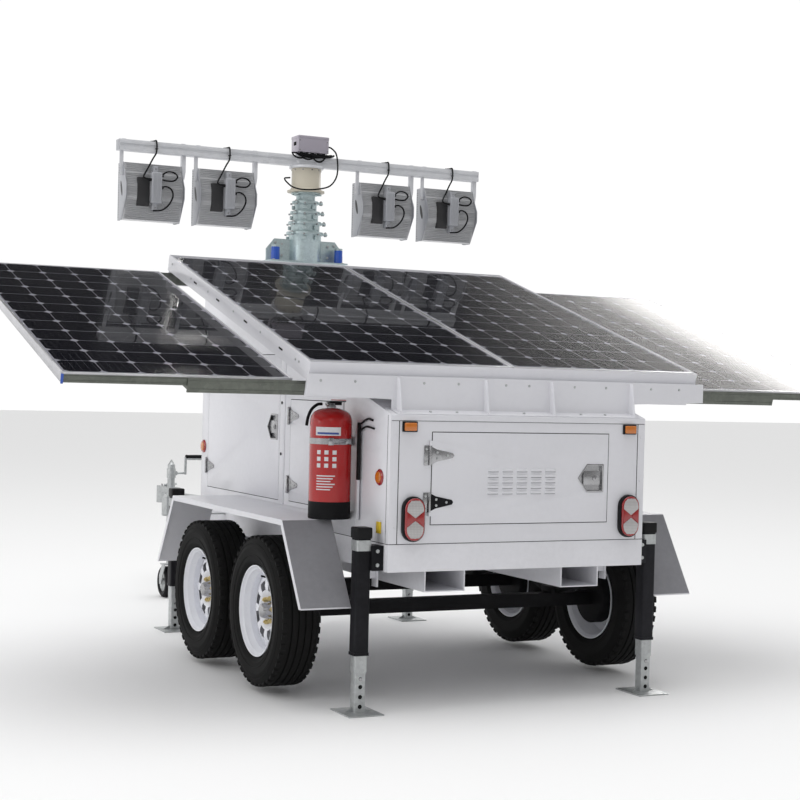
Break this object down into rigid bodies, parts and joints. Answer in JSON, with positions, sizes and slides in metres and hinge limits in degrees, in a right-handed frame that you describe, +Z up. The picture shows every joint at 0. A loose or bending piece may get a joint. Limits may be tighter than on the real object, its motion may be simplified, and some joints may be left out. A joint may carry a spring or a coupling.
{
  "type": "solar mobile light tower",
  "caption": "Tandem-axle trailer with a wedge cabinet, fixed and slide-out solar panels on its sloping roof, and a telescopic mast with floodlights.",
  "frame": {"origin": "on the ground at the middle of the footprint", "axes": "+X to the trailer's right, +Y forwards to the tow coupler, +Z up"},
  "size_m": [4.082, 5.1335, 2.8453],
  "materials": {
    "chassis_paint": "satin, lightly dusty",
    "white_paint": "gloss powder coat",
    "wheel_paint": "gloss",
    "galvanised_drawbar": "dull zinc",
    "galvanised": "dull zinc",
    "galvanised_mast": "pale zinc with a faint spangle",
    "black_steel": "satin black",
    "crank_steel": "satin",
    "solid_rubber": "matte",
    "tyre": "matte",
    "stainless": "polished",
    "battery_case": "matte",
    "grey_case": "satin",
    "solar_cells": "black cells under clear glass",
    "zinc_slide": "olive zinc passivate",
    "beige_cover": "satin",
    "lilac_case": "satin",
    "lamp_metal": "pressed and finned",
    "cord_black": "matte",
    "red_paint": "gloss"
  },
  "bodies": {
    "chassis": {"chassis_frame": "chassis_paint", "drawbar": "galvanised_drawbar", "jockey_tube": "galvanised", "cabinet_shell": "white_paint", "battery_bank": "battery_case", "control_unit": "grey_case", "fender_left": "white_paint", "fender_right": "white_paint", "axle_rear": "black_steel", "axle_front": "black_steel", "jack_tube_left_rear": "black_steel", "jack_tube_right_rear": "black_steel", "jack_tube_left_front": "black_steel", "jack_tube_right_front": "black_steel", "roof_frame": "white_paint", "solar_panel_left": "solar_cells", "solar_panel_right": "solar_cells", "mast_base": "galvanised_mast", "fire_extinguisher": "red_paint"},
    "wheel_left_rear": {"tyre_left_rear": "tyre", "rim_left_rear": "wheel_paint"},
    "wheel_right_rear": {"tyre_right_rear": "tyre", "rim_right_rear": "wheel_paint"},
    "wheel_left_front": {"tyre_left_front": "tyre", "rim_left_front": "wheel_paint"},
    "wheel_right_front": {"tyre_right_front": "tyre", "rim_right_front": "wheel_paint"},
    "leg_left_rear": {"jack_leg_left_rear": "galvanised"},
    "leg_right_rear": {"jack_leg_right_rear": "galvanised"},
    "leg_left_front": {"jack_leg_left_front": "galvanised"},
    "leg_right_front": {"jack_leg_right_front": "galvanised"},
    "jockey_inner": {"jockey_leg": "galvanised"},
    "jockey_roller": {"jockey_wheel": "solid_rubber"},
    "jockey_handle": {"jockey_crank": "crank_steel"},
    "coupler_handle": {"coupler_lever": "black_steel"},
    "rear_door": {"door_rear": "white_paint"},
    "rear_paddle": {"paddle_rear": "stainless"},
    "left_front_door": {"door_left_front": "white_paint"},
    "left_front_paddle": {"paddle_left_front": "stainless"},
    "left_rear_door": {"door_left_rear": "white_paint"},
    "left_rear_paddle": {"paddle_left_rear": "stainless"},
    "right_door": {"door_right": "white_paint"},
    "right_paddle": {"paddle_right": "stainless"},
    "left_slide_panel": {"slide_panel_left": "solar_cells"},
    "left_carriage": {"slide_carriage_left": "zinc_slide"},
    "right_slide_panel": {"slide_panel_right": "solar_cells"},
    "right_carriage": {"slide_carriage_right": "zinc_slide"},
    "stage_1": {"mast_stage_1": "galvanised_mast"},
    "stage_2": {"mast_stage_2": "galvanised_mast"},
    "stage_3": {"mast_stage_3": "galvanised_mast"},
    "stage_4": {"mast_stage_4": "galvanised_mast", "lamp_rotator": "beige_cover"},
    "lamp_head": {"lamp_crossbar": "galvanised", "junction_box": "lilac_case", "lamp_leads": "cord_black", "mast_cable": "cord_black"},
    "lamp_1": {"floodlight_1": "lamp_metal"},
    "lamp_2": {"floodlight_2": "lamp_metal"},
    "lamp_3": {"floodlight_3": "lamp_metal"},
    "lamp_4": {"floodlight_4": "lamp_metal"}
  },
  "joints": [
    {"name": "wheel_left_rear_spin", "type": "hinge", "parent": "chassis", "child": "wheel_left_rear", "pos_m": [-0.897, -1.871, 0.37], "axis": [1, 0, 0], "continuous": true},
    {"name": "wheel_right_rear_spin", "type": "hinge", "parent": "chassis", "child": "wheel_right_rear", "pos_m": [0.897, -1.871, 0.37], "axis": [1, 0, 0], "continuous": true},
    {"name": "wheel_left_front_spin", "type": "hinge", "parent": "chassis", "child": "wheel_left_front", "pos_m": [-0.897, -1.069, 0.37], "axis": [1, 0, 0], "continuous": true},
    {"name": "wheel_right_front_spin", "type": "hinge", "parent": "chassis", "child": "wheel_right_front", "pos_m": [0.897, -1.069, 0.37], "axis": [1, 0, 0], "continuous": true},
    {"name": "jack_left_rear_extend", "type": "slide", "parent": "chassis", "child": "leg_left_rear", "axis": [0, 0, 1], "range_m": [-0.12, 0.22]},
    {"name": "jack_right_rear_extend", "type": "slide", "parent": "chassis", "child": "leg_right_rear", "axis": [0, 0, 1], "range_m": [-0.12, 0.22]},
    {"name": "jack_left_front_extend", "type": "slide", "parent": "chassis", "child": "leg_left_front", "axis": [0, 0, 1], "range_m": [-0.12, 0.22]},
    {"name": "jack_right_front_extend", "type": "slide", "parent": "chassis", "child": "leg_right_front", "axis": [0, 0, 1], "range_m": [-0.12, 0.22]},
    {"name": "jockey_lift", "type": "slide", "parent": "chassis", "child": "jockey_inner", "axis": [0, 0, 1], "range_m": [-0.02, 0.14]},
    {"name": "jockey_wheel_spin", "type": "hinge", "parent": "jockey_inner", "child": "jockey_roller", "pos_m": [-0.34, 1.386, 0.1], "axis": [1, 0, 0], "continuous": true},
    {"name": "jockey_crank_turn", "type": "hinge", "parent": "chassis", "child": "jockey_handle", "pos_m": [-0.3015, 1.326, 0.81], "axis": [1, 0, 0], "range_deg": [0, 5000]},
    {"name": "coupler_release", "type": "hinge", "parent": "chassis", "child": "coupler_handle", "pos_m": [0, 2.416, 0.6612], "axis": [-1, 0, 0], "range_deg": [0, 60]},
    {"name": "rear_door_swing", "type": "hinge", "parent": "chassis", "child": "rear_door", "pos_m": [-0.464, -2.562, 1.01425], "axis": [0, 0, -1], "range_deg": [0, 105]},
    {"name": "rear_paddle_pull", "type": "hinge", "parent": "rear_door", "child": "rear_paddle", "pos_m": [0.412, -2.5525, 1.01425], "axis": [0, 0, 1], "range_deg": [0, 40], "stiffness_Nm_per_rad": 0.4, "springref_deg": -17.19},
    {"name": "left_front_door_swing", "type": "hinge", "parent": "chassis", "child": "left_front_door", "pos_m": [-0.661, -0.242, 1.1915], "axis": [0, 0, -1], "range_deg": [0, 105]},
    {"name": "left_front_paddle_pull", "type": "hinge", "parent": "left_front_door", "child": "left_front_paddle", "pos_m": [-0.6515, -1.254, 1.1915], "axis": [0, 0, 1], "range_deg": [0, 40], "stiffness_Nm_per_rad": 0.4, "springref_deg": -17.19},
    {"name": "left_rear_door_swing", "type": "hinge", "parent": "chassis", "child": "left_rear_door", "pos_m": [-0.661, -1.424, 1.084], "axis": [0, 0, -1], "range_deg": [0, 105]},
    {"name": "left_rear_paddle_pull", "type": "hinge", "parent": "left_rear_door", "child": "left_rear_paddle", "pos_m": [-0.6515, -2.019, 1.084], "axis": [0, 0, 1], "range_deg": [0, 40], "stiffness_Nm_per_rad": 0.4, "springref_deg": -17.19},
    {"name": "right_door_swing", "type": "hinge", "parent": "chassis", "child": "right_door", "pos_m": [0.661, -1.306, 1.1915], "axis": [0, 0, -1], "range_deg": [0, 105]},
    {"name": "right_paddle_pull", "type": "hinge", "parent": "right_door", "child": "right_paddle", "pos_m": [0.6515, -0.294, 1.1915], "axis": [0, 0, 1], "range_deg": [0, 40], "stiffness_Nm_per_rad": 0.4, "springref_deg": -17.19},
    {"name": "left_panel_slide", "type": "slide", "parent": "chassis", "child": "left_slide_panel", "axis": [1, 0, 0], "range_m": [0, 1.045]},
    {"name": "left_carriage_slide", "type": "slide", "parent": "chassis", "child": "left_carriage", "axis": [1, 0, 0], "range_m": [0, 0.5225]},
    {"name": "right_panel_slide", "type": "slide", "parent": "chassis", "child": "right_slide_panel", "axis": [-1, 0, 0], "range_m": [0, 1.045]},
    {"name": "right_carriage_slide", "type": "slide", "parent": "chassis", "child": "right_carriage", "axis": [-1, 0, 0], "range_m": [0, 0.5225]},
    {"name": "mast_stage_1_slide", "type": "slide", "parent": "chassis", "child": "stage_1", "axis": [0, 0, 1], "range_m": [0, 1.3]},
    {"name": "mast_stage_2_slide", "type": "slide", "parent": "stage_1", "child": "stage_2", "axis": [0, 0, 1], "range_m": [0, 1.3]},
    {"name": "mast_stage_3_slide", "type": "slide", "parent": "stage_2", "child": "stage_3", "axis": [0, 0, 1], "range_m": [0, 1.3]},
    {"name": "mast_stage_4_slide", "type": "slide", "parent": "stage_3", "child": "stage_4", "axis": [0, 0, 1], "range_m": [0, 1.3]},
    {"name": "lamp_head_pan", "type": "hinge", "parent": "stage_4", "child": "lamp_head", "pos_m": [0, 0.005, 2.665], "axis": [0, 0, 1], "range_deg": [-170, 170], "deforming": ["mast_cable"]},
    {"name": "lamp_1_tilt", "type": "hinge", "parent": "lamp_head", "child": "lamp_1", "pos_m": [-0.93, 0.005, 2.55], "axis": [1, 0, 0], "range_deg": [-80, 45], "deforming": ["lamp_leads"]},
    {"name": "lamp_2_tilt", "type": "hinge", "parent": "lamp_head", "child": "lamp_2", "pos_m": [-0.5, 0.005, 2.55], "axis": [1, 0, 0], "range_deg": [-80, 45], "deforming": ["lamp_leads"]},
    {"name": "lamp_3_tilt", "type": "hinge", "parent": "lamp_head", "child": "lamp_3", "pos_m": [0.5, 0.005, 2.55], "axis": [1, 0, 0], "range_deg": [-80, 45], "deforming": ["lamp_leads"]},
    {"name": "lamp_4_tilt", "type": "hinge", "parent": "lamp_head", "child": "lamp_4", "pos_m": [0.93, 0.005, 2.55], "axis": [1, 0, 0], "range_deg": [-80, 45], "deforming": ["lamp_leads"]}
  ],
  "couplings": [
    {"joint": "jockey_lift", "follows": "jockey_crank_turn", "m_per_rad": 0.00159},
    {"joint": "left_carriage_slide", "follows": "left_panel_slide", "ratio": 0.5},
    {"joint": "right_carriage_slide", "follows": "right_panel_slide", "ratio": 0.5},
    {"joint": "mast_stage_2_slide", "follows": "mast_stage_1_slide", "ratio": 1},
    {"joint": "mast_stage_3_slide", "follows": "mast_stage_1_slide", "ratio": 1},
    {"joint": "mast_stage_4_slide", "follows": "mast_stage_1_slide", "ratio": 1}
  ]
}
